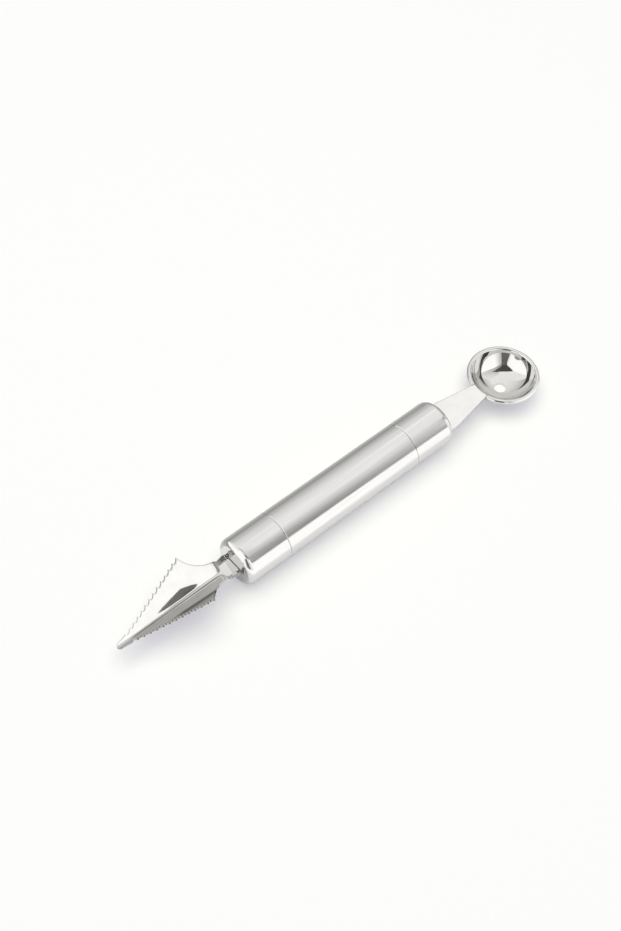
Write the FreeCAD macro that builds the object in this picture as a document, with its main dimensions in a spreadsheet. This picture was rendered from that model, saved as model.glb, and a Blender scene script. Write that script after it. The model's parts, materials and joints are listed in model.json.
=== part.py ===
import FreeCAD, Part
import math
import os
import Sketcher

# A double-ended melon baller: a round steel handle with a folded, serrated carving blade at one
# end and a drawn scoop at the other. Each tang passes through a slot in the handle's end cup and
# is pinned in a moulded plug, which also bridges the seam between the cup and the middle tube.
# Millimetres and degrees. X runs from the blade to the scoop, Z is up, and the origin lies on the
# table below the middle of the handle.

SIZES = {
    # Handle: a middle tube and two end cups with the same outside and the same wall.
    "handle_diameter": 19.5,
    "tube_length": 65,
    "cup_length": 19.5,
    "wall_thickness": 0.8,
    "shoulder_radius": 1.5,
    "corner_share": 0.4,
    "seam_chamfer": 0.25,
    "slot_clearance": 0.3,
    # Plugs and cross pins inside the handle.
    "plug_length": 34,
    "fit_clearance": 0.05,
    "tang_length": 30,
    "pin_setback": 26,
    "pin_diameter": 2,
    "pin_end_gap": 0.5,
    "pin_chamfer": 0.3,
    # Carving blade: a sheet folded to a V, wide at the wings and narrow at the nose.
    "blade_length": 53,
    "blade_thickness": 0.8,
    "blade_tang_width": 10.2,
    "neck_width": 9.4,
    "neck_length": 5.5,
    "wing_span": 22.4,
    "wing_setback": 18,
    "wing_angle": 43,
    "fold_start": 0.6,
    "fold_end": 12,
    "neck_bend_width": 3,
    "nose_bend_width": 0.9,
    "nose_length": 5,
    "nose_width": 3.8,
    "nose_angle": 35,
    "nose_drop": 0.8,
    "nose_radius": 1.2,
    "tooth_count": 13,
    "tooth_depth": 0.65,
    "tooth_land": 0.2,
    # Scoop: a drawn bowl with a rolled lip on a flat, tapered shank.
    "scoop_thickness": 0.8,
    "scoop_tang_width": 11,
    "shank_length": 23,
    "shank_root_width": 15.4,
    "shank_neck_width": 7.5,
    "bowl_diameter": 30,
    "bowl_depth": 9.5,
    "lip_radius": 1,
    "curl_radius": 1,
    "curl_angle": 130,
    "vent_diameter": 5,
    # How far a cutting outline runs past what it cuts.
    "cut_overrun": 1,
}

# Sizes that follow from the driving ones.
HANDLE_RADIUS = "(sizes.handle_diameter / 2)"
BORE_RADIUS = "(sizes.handle_diameter / 2 - sizes.wall_thickness)"
CORNER_RADIUS = "(sizes.shoulder_radius * sizes.corner_share)"
END_DISTANCE = "(sizes.tube_length / 2 + sizes.cup_length)"
BOWL_CENTRE = "(sizes.shank_length + sizes.bowl_diameter / 2)"
CREST_RADIUS = "(sizes.bowl_diameter / 2 - sizes.curl_radius)"

doc = FreeCAD.newDocument("melon_baller")
sheet = doc.addObject("Spreadsheet::Sheet", "sizes")
for row, (alias, number) in enumerate(SIZES.items(), 1):
    sheet.set(f"A{row}", alias)
    sheet.set(f"B{row}", str(number))
    sheet.setAlias(f"B{row}", alias)
doc.recompute()


def value_of(expression):
    """The present value of an expression in the sheet's sizes."""
    value = sheet.evalExpression(expression)
    return float(getattr(value, "Value", value))


def origin_plane(body, role):
    return next(feature for feature in body.Origin.OriginFeatures if feature.Role == role)


def new_body(label, end=0):
    """A body on the handle's axis: at its middle, or with x outward from end 1 or end -1."""
    body = doc.addObject("PartDesign::Body", label)
    body.Label = label
    turn = 180 if end < 0 else 0
    body.Placement = FreeCAD.Placement(FreeCAD.Vector(), FreeCAD.Rotation(FreeCAD.Vector(0, 0, 1), turn))
    body.setExpression("Placement.Base.x", f"{end} * {END_DISTANCE}")
    body.setExpression("Placement.Base.z", HANDLE_RADIUS)
    return body


def new_sketch(body, name, role):
    sketch = body.newObject("Sketcher::SketchObject", name)
    sketch.AttachmentSupport = [(origin_plane(body, role), "")]
    sketch.MapMode = "FlatFace"
    return sketch


def constrain(sketch, name, expression, kind, *places):
    """A named dimension that follows an expression in the sheet's sizes."""
    number = sketch.addConstraint(Sketcher.Constraint(kind, *places, value_of(expression)))
    sketch.renameConstraint(number, name)
    sketch.setExpression(f"Constraints.{name}", expression)


def add_arc(sketch, name, start, end, radius, turn):
    """An arc that turns left (1) or right (-1) on its way, with its first and last points."""
    size = value_of(radius)
    chord = end - start
    left = FreeCAD.Vector(-chord.y, chord.x, 0).normalize()
    rise = math.sqrt(max(size ** 2 - (chord.Length / 2) ** 2, 0))
    centre = (start + end) / 2 + left * (turn * rise)
    path = (start, end) if turn > 0 else (end, start)
    angles = [math.atan2(place.y - centre.y, place.x - centre.x) for place in path]
    circle = Part.Circle(centre, FreeCAD.Vector(0, 0, 1), size)
    side = sketch.addGeometry(Part.ArcOfCircle(circle, *angles), False)
    constrain(sketch, name, radius, "Radius", side)
    return (side, 1, 2) if turn > 0 else (side, 2, 1)


def draw_outline(sketch, name, corners, arcs=None):
    """A closed outline through corners, which are pairs of expressions. Sides are straight,
    except those that arcs lists by their first corner, with the radius and the turn."""
    arcs = arcs or {}
    places = [FreeCAD.Vector(value_of(x), value_of(y), 0) for x, y in corners]
    sides = []
    for number, start in enumerate(places):
        end = places[(number + 1) % len(places)]
        if number in arcs:
            sides.append(add_arc(sketch, f"{name}_radius_{number}", start, end, *arcs[number]))
        else:
            sides.append((sketch.addGeometry(Part.LineSegment(start, end), False), 1, 2))
    for number, (side, first, last) in enumerate(sides):
        next_side, next_first, _ = sides[(number + 1) % len(sides)]
        sketch.addConstraint(Sketcher.Constraint("Coincident", side, last, next_side, next_first))
        x, y = corners[number]
        constrain(sketch, f"{name}_x_{number}", x, "DistanceX", -1, 1, side, first)
        constrain(sketch, f"{name}_y_{number}", y, "DistanceY", -1, 1, side, first)


def draw_circle(sketch, x, diameter):
    circle = Part.Circle(FreeCAD.Vector(value_of(x), 0, 0), FreeCAD.Vector(0, 0, 1), value_of(diameter) / 2)
    number = sketch.addGeometry(circle, False)
    constrain(sketch, "centre_x", x, "DistanceX", -1, 1, number, 3)
    sketch.addConstraint(Sketcher.Constraint("PointOnObject", number, 3, -1))
    constrain(sketch, "diameter", diameter, "Diameter", number)


def rectangle(left, right, half_height):
    return [(left, f"-({half_height})"), (right, f"-({half_height})"), (right, half_height), (left, half_height)]


def mirrored(corners, arcs):
    """The outline that runs along corners above the X axis and back along their mirror image."""
    below = [(x, f"-({y})") for x, y in reversed(corners)]
    count = len(corners)
    back = {2 * count - 2 - number: arc for number, arc in arcs.items() if number < count - 1}
    return corners + below, {**arcs, **back}


def revolve(body, name, sketch, axis, angle="360"):
    feature = body.newObject("PartDesign::Revolution", name)
    feature.Profile = sketch
    feature.ReferenceAxis = (sketch, [axis])
    feature.Midplane = True
    feature.setExpression("Angle", angle)
    return feature


def pad(body, name, sketch, thickness):
    feature = body.newObject("PartDesign::Pad", name)
    feature.Profile = sketch
    feature.SideType = "Symmetric"
    feature.setExpression("Length", thickness)
    return feature


def cut_through(body, name, sketch):
    """Cut a sketch's outline through the whole body, both ways, and check that it cut."""
    doc.recompute()
    before = body.Shape.Volume
    feature = body.newObject("PartDesign::Pocket", name)
    feature.Profile = sketch
    feature.SideType = "Symmetric"
    feature.Type = "ThroughAll"
    doc.recompute()
    if body.Shape.Volume >= before:
        raise RuntimeError(f"{name} cuts nothing from {body.Label}")
    return feature


def cut_pin_hole(body):
    sketch = new_sketch(body, "pin_hole_outline", "XY_Plane")
    draw_circle(sketch, "-sizes.pin_setback", "sizes.pin_diameter + 2 * sizes.fit_clearance")
    cut_through(body, "pin_hole", sketch)


def cut_tang_slot(body, width, thickness, clearance):
    sketch = new_sketch(body, "slot_outline", "YZ_Plane")
    half_width = f"({width} / 2 + {clearance})"
    draw_outline(sketch, "slot", rectangle(f"-{half_width}", half_width, f"{thickness} / 2 + {clearance}"))
    cut_through(body, "slot", sketch)


def handle_tube():
    """The middle of the handle, with the small chamfers that show as ring lines at the seams."""
    body = new_body("handle_tube")
    sketch = new_sketch(body, "wall_outline", "XZ_Plane")
    half = "sizes.tube_length / 2"
    corners = [
        (f"-{half}", BORE_RADIUS),
        (f"-{half}", f"{HANDLE_RADIUS} - sizes.seam_chamfer"),
        (f"-{half} + sizes.seam_chamfer", HANDLE_RADIUS),
        (f"{half} - sizes.seam_chamfer", HANDLE_RADIUS),
        (half, f"{HANDLE_RADIUS} - sizes.seam_chamfer"),
        (half, BORE_RADIUS),
    ]
    draw_outline(sketch, "wall", corners)
    revolve(body, "wall", sketch, "H_Axis")
    return body


def end_cup(label, end, tang_width, tang_thickness):
    """A drawn cup with a rounded shoulder and a slot for the tang in its flat end."""
    body = new_body(label, end)
    sketch = new_sketch(body, "wall_outline", "XZ_Plane")
    corners = [
        ("-sizes.cup_length", BORE_RADIUS),
        ("-sizes.cup_length", f"{HANDLE_RADIUS} - sizes.seam_chamfer"),
        ("-sizes.cup_length + sizes.seam_chamfer", HANDLE_RADIUS),
        ("-sizes.shoulder_radius", HANDLE_RADIUS),
        ("0", f"{HANDLE_RADIUS} - sizes.shoulder_radius"),
        ("0", "0"),
        ("-sizes.wall_thickness", "0"),
        ("-sizes.wall_thickness", f"{BORE_RADIUS} - {CORNER_RADIUS}"),
        (f"-sizes.wall_thickness - {CORNER_RADIUS}", BORE_RADIUS),
    ]
    arcs = {3: ("sizes.shoulder_radius", -1), 7: (CORNER_RADIUS, 1)}
    draw_outline(sketch, "wall", corners, arcs)
    revolve(body, "wall", sketch, "H_Axis")
    cut_tang_slot(body, tang_width, tang_thickness, "sizes.slot_clearance")
    return body


def tang_plug(label, end, tang_width, tang_thickness):
    """A moulded plug that seats on the cup's end wall and reaches into the middle tube."""
    body = new_body(label, end)
    sketch = new_sketch(body, "core_outline", "XZ_Plane")
    radius = f"({BORE_RADIUS} - sizes.fit_clearance)"
    inner_end = "-sizes.wall_thickness - sizes.plug_length"
    corners = [
        (inner_end, "0"),
        (inner_end, f"{radius} - {CORNER_RADIUS}"),
        (f"{inner_end} + {CORNER_RADIUS}", radius),
        (f"-sizes.wall_thickness - {CORNER_RADIUS}", radius),
        ("-sizes.wall_thickness", f"{radius} - {CORNER_RADIUS}"),
        ("-sizes.wall_thickness", "0"),
    ]
    draw_outline(sketch, "core", corners)
    revolve(body, "core", sketch, "H_Axis")
    cut_tang_slot(body, tang_width, tang_thickness, "sizes.fit_clearance")
    cut_pin_hole(body)
    return body


def tang_pin(label, end):
    """An upright cross pin through plug and tang, held in by the middle tube around it."""
    body = new_body(label, end)
    sketch = new_sketch(body, "section", "XY_Plane")
    draw_circle(sketch, "-sizes.pin_setback", "sizes.pin_diameter")
    rod = pad(body, "rod", sketch, f"2 * ({BORE_RADIUS} - sizes.pin_end_gap)")
    doc.recompute()
    chamfer = body.newObject("PartDesign::Chamfer", "rod_ends")
    rims = [f"Face{number}" for number, face in enumerate(rod.Shape.Faces, 1) if face.Surface.isPlanar()]
    chamfer.Base = (rod, rims)
    chamfer.setExpression("Size", "sizes.pin_chamfer")
    return body


def fold_section(body, number, x, slope, curved, level="0"):
    """The sheet's section at x: a round bend, whose bottom lies at a level, between straight legs."""
    sketch = new_sketch(body, f"fold_section_{number}", "YZ_Plane")
    sketch.setExpression("AttachmentOffset.Base.z", x)
    spread = f"(({x}) / sizes.blade_length)"
    bend = f"(sizes.neck_bend_width * (1 - {spread}) + sizes.nose_bend_width * {spread})"
    bend = f"({bend} / 2)"
    leg_end = "(sizes.wing_span / 2 + sizes.cut_overrun)"
    half = "sizes.blade_thickness / 2"
    top = f"({level} + {half} + {bend} * tan({slope} / 2))"
    under = f"({bend} + sizes.blade_thickness * sin({slope}))"
    under_height = f"({top} - sizes.blade_thickness * cos({slope}))"
    top_end = f"({top} + ({leg_end} - {bend}) * tan({slope}))"
    under_end = f"({under_height} + ({leg_end} - {under}) * tan({slope}))"
    corners = [
        (f"-{leg_end}", top_end),
        (f"-{bend}", top),
        (bend, top),
        (leg_end, top_end),
        (leg_end, under_end),
        (under, under_height),
        (f"-{under}", under_height),
        (f"-{leg_end}", under_end),
    ]
    radius = f"({bend} / sin({slope}))"
    arcs = {1: (radius, 1), 5: (f"{radius} + sizes.blade_thickness", -1)} if curved else {}
    draw_outline(sketch, "fold", corners, arcs)
    return sketch


def loft(body, name, sections):
    feature = body.newObject("PartDesign::AdditiveLoft", name)
    feature.Profile = sections[0]
    feature.Sections = sections[1:]
    return feature


def carving_blade():
    """A sheet that leaves the handle flat, folds to a V along its neck and ends in a narrow nose,
    trimmed to a swallow-tailed outline with a row of scalloped teeth along each edge."""
    body = new_body("carving_blade", -1)
    rise_shares = (0, 0.25, 0.5, 0.75, 1)
    sections = []
    for number, share in enumerate(rise_shares):
        x = f"(sizes.fold_start + (sizes.fold_end - sizes.fold_start) * {share})"
        eased_share = share * share * (3 - 2 * share)
        sections.append(fold_section(body, number, x, f"(sizes.wing_angle * {eased_share})", share > 0))
    nose_x = "(sizes.blade_length + sizes.cut_overrun)"
    sections.append(fold_section(body, len(rise_shares), nose_x, "sizes.nose_angle", True, "-sizes.nose_drop"))
    loft(body, "folded_neck", sections[:-1])
    loft(body, "folded_trough", sections[-2:])

    tang = new_sketch(body, "tang_outline", "XY_Plane")
    draw_outline(tang, "tang", rectangle("-sizes.tang_length", "sizes.fold_start", "sizes.blade_tang_width / 2"))
    pad(body, "tang", tang, "sizes.blade_thickness")

    shoulder_x = "(sizes.blade_length - sizes.nose_length)"
    nose_centre = "(sizes.blade_length - sizes.nose_radius)"
    nose_run = f"({nose_centre} - {shoulder_x})"
    nose_reach = f"sqrt({nose_run}^2 + (sizes.nose_width / 2)^2)"
    nose_lean = f"(acos(sizes.nose_radius / {nose_reach}) - atan2({nose_run}; sizes.nose_width / 2))"
    flare_run = "(sizes.wing_setback - sizes.neck_length)"
    flare_rise = "(sizes.wing_span / 2 - sizes.neck_width / 2)"
    upper = [
        ("-sizes.tang_length", "sizes.blade_tang_width / 2"),
        ("sizes.fold_start", "sizes.blade_tang_width / 2"),
        ("sizes.neck_length", "sizes.neck_width / 2"),
        ("sizes.wing_setback", "sizes.wing_span / 2"),
        (shoulder_x, "sizes.nose_width / 2"),
        (f"{nose_centre} + sizes.nose_radius * sin({nose_lean})", f"sizes.nose_radius * cos({nose_lean})"),
    ]
    flare_radius = f"({flare_run}^2 + {flare_rise}^2) / (2 * {flare_rise})"
    corners, arcs = mirrored(upper, {2: (flare_radius, 1), 5: ("sizes.nose_radius", -1)})
    trim = new_sketch(body, "trim_outline", "XY_Plane")
    draw_outline(trim, "kept", corners, arcs)
    margin = "2 * sizes.cut_overrun"
    waste = rectangle(f"-sizes.tang_length - {margin}", f"sizes.blade_length + {margin}",
                      f"sizes.wing_span / 2 + {margin}")
    draw_outline(trim, "waste", waste)
    cut_through(body, "trim", trim)

    edge_run = f"({shoulder_x} - sizes.wing_setback)"
    edge_fall = "(sizes.wing_span / 2 - sizes.nose_width / 2)"
    pitch = f"(sqrt({edge_run}^2 + {edge_fall}^2) / sizes.tooth_count)"
    tooth = new_sketch(body, "tooth_gap_outline", "XY_Plane")
    tooth.AttachmentOffset = FreeCAD.Placement(FreeCAD.Vector(), FreeCAD.Rotation(FreeCAD.Vector(0, 0, 1), 1))
    tooth.setExpression("AttachmentOffset.Base.x", "sizes.wing_setback")
    tooth.setExpression("AttachmentOffset.Base.y", "sizes.wing_span / 2")
    tooth.setExpression("AttachmentOffset.Rotation.Angle", f"-atan2({edge_fall}; {edge_run})")
    gap_start = "sizes.tooth_land / 2"
    gap_end = f"({pitch} - sizes.tooth_land / 2)"
    half_gap = f"(({gap_end} - {gap_start}) / 2)"
    gap = [(gap_start, "0"), (gap_end, "0"), (gap_end, "sizes.cut_overrun"), (gap_start, "sizes.cut_overrun")]
    scallop_radius = f"({half_gap}^2 + sizes.tooth_depth^2) / (2 * sizes.tooth_depth)"
    draw_outline(tooth, "gap", gap, {0: (scallop_radius, 1)})
    first_gap = cut_through(body, "tooth_gap", tooth)

    teeth = body.newObject("PartDesign::MultiTransform", "teeth")
    row = body.newObject("PartDesign::LinearPattern", "tooth_row")
    row.Direction = (tooth, ["H_Axis"])
    row.setExpression("Length", f"{pitch} * (sizes.tooth_count - 1)")
    row.setExpression("Occurrences", "sizes.tooth_count")
    both_edges = body.newObject("PartDesign::Mirrored", "both_edges")
    both_edges.MirrorPlane = (origin_plane(body, "XZ_Plane"), [""])
    teeth.Originals = [first_gap]
    teeth.Transformations = [row, both_edges]
    body.Tip = teeth
    cut_pin_hole(body)
    return body


def melon_scoop():
    """A drawn bowl with a vent and a lip that rolls outward, on a flat shank with a tang. The roll
    stops at the shank, whose top runs level into the crest of the lip."""
    body = new_body("melon_scoop", 1)
    crest = "(sizes.scoop_thickness / 2)"
    inner_radius = f"(({CREST_RADIUS}^2 + sizes.bowl_depth^2) / (2 * sizes.bowl_depth) - sizes.lip_radius)"
    outer_radius = f"({inner_radius} + sizes.scoop_thickness)"
    steepness = f"asin({CREST_RADIUS} / ({inner_radius} + sizes.lip_radius))"
    centre_height = f"({crest} - sizes.bowl_depth + {inner_radius})"
    bowl_corners = [
        ("0", f"{centre_height} - {inner_radius}"),
        (f"{inner_radius} * sin({steepness})", f"{centre_height} - {inner_radius} * cos({steepness})"),
        (CREST_RADIUS, crest),
        (CREST_RADIUS, f"{crest} - sizes.scoop_thickness"),
        (f"{outer_radius} * sin({steepness})", f"{centre_height} - {outer_radius} * cos({steepness})"),
        ("0", f"{centre_height} - {outer_radius}"),
    ]
    bowl_arcs = {
        0: (inner_radius, 1),
        1: ("sizes.lip_radius", -1),
        3: ("sizes.lip_radius - sizes.scoop_thickness", 1),
        4: (outer_radius, -1),
    }
    bowl = new_sketch(body, "bowl_outline", "XZ_Plane")
    bowl.setExpression("AttachmentOffset.Base.x", BOWL_CENTRE)
    draw_outline(bowl, "bowl", bowl_corners, bowl_arcs)
    revolve(body, "bowl", bowl, "V_Axis")

    inner_curl = "(sizes.curl_radius - sizes.scoop_thickness)"
    curl_height = f"({crest} - sizes.curl_radius)"
    curl_corners = [
        (CREST_RADIUS, crest),
        (f"{CREST_RADIUS} + sizes.curl_radius * sin(sizes.curl_angle)",
         f"{curl_height} + sizes.curl_radius * cos(sizes.curl_angle)"),
        (f"{CREST_RADIUS} + {inner_curl} * sin(sizes.curl_angle)",
         f"{curl_height} + {inner_curl} * cos(sizes.curl_angle)"),
        (CREST_RADIUS, f"{crest} - sizes.scoop_thickness"),
    ]
    curl = new_sketch(body, "curl_outline", "XZ_Plane")
    curl.setExpression("AttachmentOffset.Base.x", BOWL_CENTRE)
    draw_outline(curl, "curl", curl_corners, {0: ("sizes.curl_radius", -1), 2: (inner_curl, 1)})
    revolve(body, "curl", curl, "V_Axis", "360 deg - 2 * asin(sizes.shank_neck_width / sizes.bowl_diameter)")

    neck_x = f"{BOWL_CENTRE} - sqrt({CREST_RADIUS}^2 - (sizes.shank_neck_width / 2)^2)"
    upper = [
        ("-sizes.tang_length", "sizes.scoop_tang_width / 2"),
        ("0", "sizes.scoop_tang_width / 2"),
        ("0", "sizes.shank_root_width / 2"),
        (neck_x, "sizes.shank_neck_width / 2"),
    ]
    corners, arcs = mirrored(upper, {3: (CREST_RADIUS, 1)})
    shank = new_sketch(body, "shank_outline", "XY_Plane")
    draw_outline(shank, "shank", corners, arcs)
    pad(body, "shank", shank, "sizes.scoop_thickness")

    vent = new_sketch(body, "vent_outline", "XY_Plane")
    draw_circle(vent, BOWL_CENTRE, "sizes.vent_diameter")
    cut_through(body, "vent", vent)
    cut_pin_hole(body)
    return body


blade_tang = ("sizes.blade_tang_width", "sizes.blade_thickness")
scoop_tang = ("sizes.scoop_tang_width", "sizes.scoop_thickness")
pieces = [
    handle_tube(),
    end_cup("blade_end_cup", -1, *blade_tang),
    end_cup("scoop_end_cup", 1, *scoop_tang),
    tang_plug("blade_tang_plug", -1, *blade_tang),
    tang_plug("scoop_tang_plug", 1, *scoop_tang),
    tang_pin("blade_tang_pin", -1),
    tang_pin("scoop_tang_pin", 1),
    carving_blade(),
    melon_scoop(),
]
doc.recompute()

for item in doc.Objects:
    if "Invalid" in item.State or "Error" in item.State:
        raise RuntimeError(f"{item.Label} is {item.State}")
for piece in pieces:
    if piece.Shape.isNull() or not piece.Shape.isValid() or len(piece.Shape.Solids) != 1:
        raise RuntimeError(f"{piece.Label} is not one valid solid")

os.makedirs("parts", exist_ok=True)
for piece in pieces:
    piece.Shape.exportStep(f"parts/{piece.Label}.step")
    print(piece.Label, round(piece.Shape.Volume, 2), piece.Shape.BoundBox)
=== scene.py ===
import json
import math
import bmesh
import bpy
import numpy as np
from mathutils import Matrix, Vector


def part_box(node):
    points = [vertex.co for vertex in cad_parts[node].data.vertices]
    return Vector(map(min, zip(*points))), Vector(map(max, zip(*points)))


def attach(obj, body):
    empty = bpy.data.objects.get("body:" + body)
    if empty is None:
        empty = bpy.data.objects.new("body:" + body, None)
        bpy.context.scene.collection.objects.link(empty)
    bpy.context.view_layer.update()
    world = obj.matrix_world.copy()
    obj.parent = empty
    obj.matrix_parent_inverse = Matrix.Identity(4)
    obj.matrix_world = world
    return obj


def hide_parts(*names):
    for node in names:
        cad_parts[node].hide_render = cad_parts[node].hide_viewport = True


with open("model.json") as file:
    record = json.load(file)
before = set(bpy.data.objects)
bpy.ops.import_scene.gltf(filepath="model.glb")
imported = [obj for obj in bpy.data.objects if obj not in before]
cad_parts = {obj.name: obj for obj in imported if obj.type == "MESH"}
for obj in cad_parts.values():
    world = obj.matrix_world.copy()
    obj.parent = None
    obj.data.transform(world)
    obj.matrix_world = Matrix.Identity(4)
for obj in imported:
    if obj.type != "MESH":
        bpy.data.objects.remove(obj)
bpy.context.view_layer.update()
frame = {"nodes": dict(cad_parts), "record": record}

bpy.context.scene.view_settings.view_transform = "Standard"

# Handle tube: the middle stretch of the grip, a length of round stainless tube.
# Its ends are lightly chamfered, so that each butt joint with an end cup shows as a fine ring line.
# The outside is satin, polished lengthwise on a belt.
mm = 0.001
tube_low, tube_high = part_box("handle_tube")
grip = next(mount for mount in frame["record"]["mounts"] if mount["name"] == "handle_grip")
handle_radius = grip["dims"]["r_mm"] * mm
handle_height = grip["pos_m"][2]
wall = 0.8 * mm
seam_chamfer = 0.25 * mm
round_segments = 192
wall_sharp_angle = 25


def linear(colour):
    """The linear values of an sRGB hex colour."""
    parts = [int(colour[at:at + 2], 16) / 255 for at in (1, 3, 5)]
    curve = [part / 12.92 if part <= 0.04045 else ((part + 0.055) / 1.055) ** 2.4 for part in parts]
    return curve + [1.0]


def add_node(tree, kind, links=None, **settings):
    """Adds a node with its settings, and links or sets its sockets."""
    node = tree.nodes.new(kind)
    for name, value in settings.items():
        setattr(node, name, value)
    for socket, value in (links or {}).items():
        if isinstance(value, bpy.types.NodeSocket):
            tree.links.new(value, node.inputs[socket])
        else:
            node.inputs[socket].default_value = value
    return node


def new_material(name):
    """A material with an empty node tree."""
    material = bpy.data.materials.new(name)
    material.use_nodes = True
    material.node_tree.nodes.clear()
    return material


# Satin stainless steel, belt-polished along the handle: a clear but softened reflection with hair
# lines along the grip. The real lines are about 0.05 mm wide and are drawn coarser, to show.
satin_steel = new_material("satin_stainless_steel")
tree = satin_steel.node_tree
line_width = 0.3 * mm
line_length = 25 * mm
line_depth = 0.02 * mm
smudge_size = 9 * mm
# Width, fade and darkness of the painted shade at the ring lines.
seam_shade_width = 0.1 * mm
seam_shade_fade = 0.3 * mm
seam_shade_strength = 0.22

# Most values of a noise lie between these two.
noise_low = 0.3
noise_high = 0.7
place = add_node(tree, "ShaderNodeTexCoord")
along = add_node(tree, "ShaderNodeMapping", {
    "Vector": place.outputs["Object"],
    "Scale": (1 / line_length, 1 / line_width, 1 / line_width)})
lines = add_node(tree, "ShaderNodeTexNoise", {
    "Vector": along.outputs["Vector"], "Scale": 1.0, "Detail": 3.0, "Roughness": 0.6})
smudges = add_node(tree, "ShaderNodeTexNoise", {
    "Vector": place.outputs["Object"], "Scale": 1 / smudge_size, "Detail": 2.0})
tint = add_node(tree, "ShaderNodeValToRGB", {"Fac": lines.outputs["Fac"]})
tint.color_ramp.elements[0].position = noise_low
tint.color_ramp.elements[0].color = linear("#DAD9D7")
tint.color_ramp.elements[1].position = noise_high
tint.color_ramp.elements[1].color = linear("#E5E4E2")

# Painted shade: the two ring lines are painted darker than the polished wall beside them, as the shade in
# their seams.
spot = add_node(tree, "ShaderNodeSeparateXYZ", {0: place.outputs["Object"]})
from_middle = add_node(tree, "ShaderNodeMath", {0: spot.outputs["X"]}, operation="ABSOLUTE")
from_seam = add_node(tree, "ShaderNodeMath", {
    0: from_middle.outputs["Value"], 1: tube_high.x}, operation="SUBTRACT")
seam_gap = add_node(tree, "ShaderNodeMath", {0: from_seam.outputs["Value"]}, operation="ABSOLUTE")
seam_shade = add_node(tree, "ShaderNodeMapRange", {
    "Value": seam_gap.outputs["Value"], "From Min": seam_shade_width, "From Max": seam_shade_fade,
    "To Min": seam_shade_strength, "To Max": 0.0})
shade = add_node(tree, "ShaderNodeMixRGB", {
    "Fac": seam_shade.outputs["Result"], "Color1": tint.outputs["Color"], "Color2": linear("#6B6866")})
gloss = add_node(tree, "ShaderNodeMapRange", {
    "Value": lines.outputs["Fac"], "From Min": noise_low, "From Max": noise_high,
    "To Min": 0.09, "To Max": 0.15})
haze = add_node(tree, "ShaderNodeMapRange", {
    "Value": smudges.outputs["Fac"], "From Min": 0.35, "From Max": 0.75, "To Min": 0.0, "To Max": 0.03})
rough = add_node(tree, "ShaderNodeMath", {
    0: gloss.outputs["Result"], 1: haze.outputs["Result"]}, operation="ADD")
grooves = add_node(tree, "ShaderNodeBump", {
    "Height": lines.outputs["Fac"], "Strength": 0.05, "Distance": line_depth})
steel = add_node(tree, "ShaderNodeBsdfPrincipled", {
    "Base Color": shade.outputs["Color"], "Metallic": 1.0, "Roughness": rough.outputs["Value"],
    "Normal": grooves.outputs["Normal"]})
add_node(tree, "ShaderNodeOutputMaterial", {"Surface": steel.outputs["BSDF"]})

# A wall of revolution round the handle's axis. The points of its section are turned in equal steps:
# each grid row stands for one point of the section, each grid column for one step of the turn.
weld_distance = 0.001 * mm
turned_wall = bpy.data.node_groups.new("turned_wall", "GeometryNodeTree")
turned_inputs = {}
for name, kind in (("Section", "NodeSocketGeometry"), ("Segments", "NodeSocketInt"),
                   ("Closing rows", "NodeSocketInt"), ("Axis height", "NodeSocketFloat"),
                   ("Metal", "NodeSocketMaterial")):
    turned_inputs[name] = turned_wall.interface.new_socket(name, in_out="INPUT", socket_type=kind)
turned_wall.interface.new_socket("Wall", in_out="OUTPUT", socket_type="NodeSocketGeometry")
given = add_node(turned_wall, "NodeGroupInput")
count = add_node(turned_wall, "GeometryNodeAttributeDomainSize", {"Geometry": given.outputs["Section"]})
rows = add_node(turned_wall, "ShaderNodeMath", {
    0: count.outputs["Point Count"], 1: given.outputs["Closing rows"]}, operation="ADD")
columns = add_node(turned_wall, "ShaderNodeMath", {0: given.outputs["Segments"], 1: 1.0}, operation="ADD")
grid = add_node(turned_wall, "GeometryNodeMeshGrid", {
    "Vertices X": rows.outputs["Value"], "Vertices Y": columns.outputs["Value"]})
index = add_node(turned_wall, "GeometryNodeInputIndex")
step = add_node(turned_wall, "ShaderNodeMath", {
    0: index.outputs["Index"], 1: columns.outputs["Value"]}, operation="MODULO")
row_share = add_node(turned_wall, "ShaderNodeMath", {
    0: index.outputs["Index"], 1: columns.outputs["Value"]}, operation="DIVIDE")
row = add_node(turned_wall, "ShaderNodeMath", {0: row_share.outputs["Value"]}, operation="FLOOR")
point = add_node(turned_wall, "ShaderNodeMath", {
    0: row.outputs["Value"], 1: count.outputs["Point Count"]}, operation="MODULO")
position = add_node(turned_wall, "GeometryNodeInputPosition")
section_point = add_node(turned_wall, "GeometryNodeSampleIndex", {
    "Geometry": given.outputs["Section"], "Value": position.outputs["Position"],
    "Index": point.outputs["Value"]}, data_type="FLOAT_VECTOR", domain="POINT")
section_place = add_node(turned_wall, "ShaderNodeSeparateXYZ", {0: section_point.outputs["Value"]})
turn = add_node(turned_wall, "ShaderNodeMath", {
    0: step.outputs["Value"], 1: given.outputs["Segments"]}, operation="DIVIDE")
angle = add_node(turned_wall, "ShaderNodeMath", {
    0: turn.outputs["Value"], 1: math.tau}, operation="MULTIPLY")
sine = add_node(turned_wall, "ShaderNodeMath", {0: angle.outputs["Value"]}, operation="SINE")
cosine = add_node(turned_wall, "ShaderNodeMath", {0: angle.outputs["Value"]}, operation="COSINE")
side = add_node(turned_wall, "ShaderNodeMath", {
    0: section_place.outputs["Z"], 1: sine.outputs["Value"]}, operation="MULTIPLY")
height = add_node(turned_wall, "ShaderNodeMath", {
    0: section_place.outputs["Z"], 1: cosine.outputs["Value"], 2: given.outputs["Axis height"]},
    operation="MULTIPLY_ADD")
turned_place = add_node(turned_wall, "ShaderNodeCombineXYZ", {
    "X": section_place.outputs["X"], "Y": side.outputs["Value"], "Z": height.outputs["Value"]})
turned = add_node(turned_wall, "GeometryNodeSetPosition", {
    "Geometry": grid.outputs["Mesh"], "Position": turned_place.outputs["Vector"]})
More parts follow.
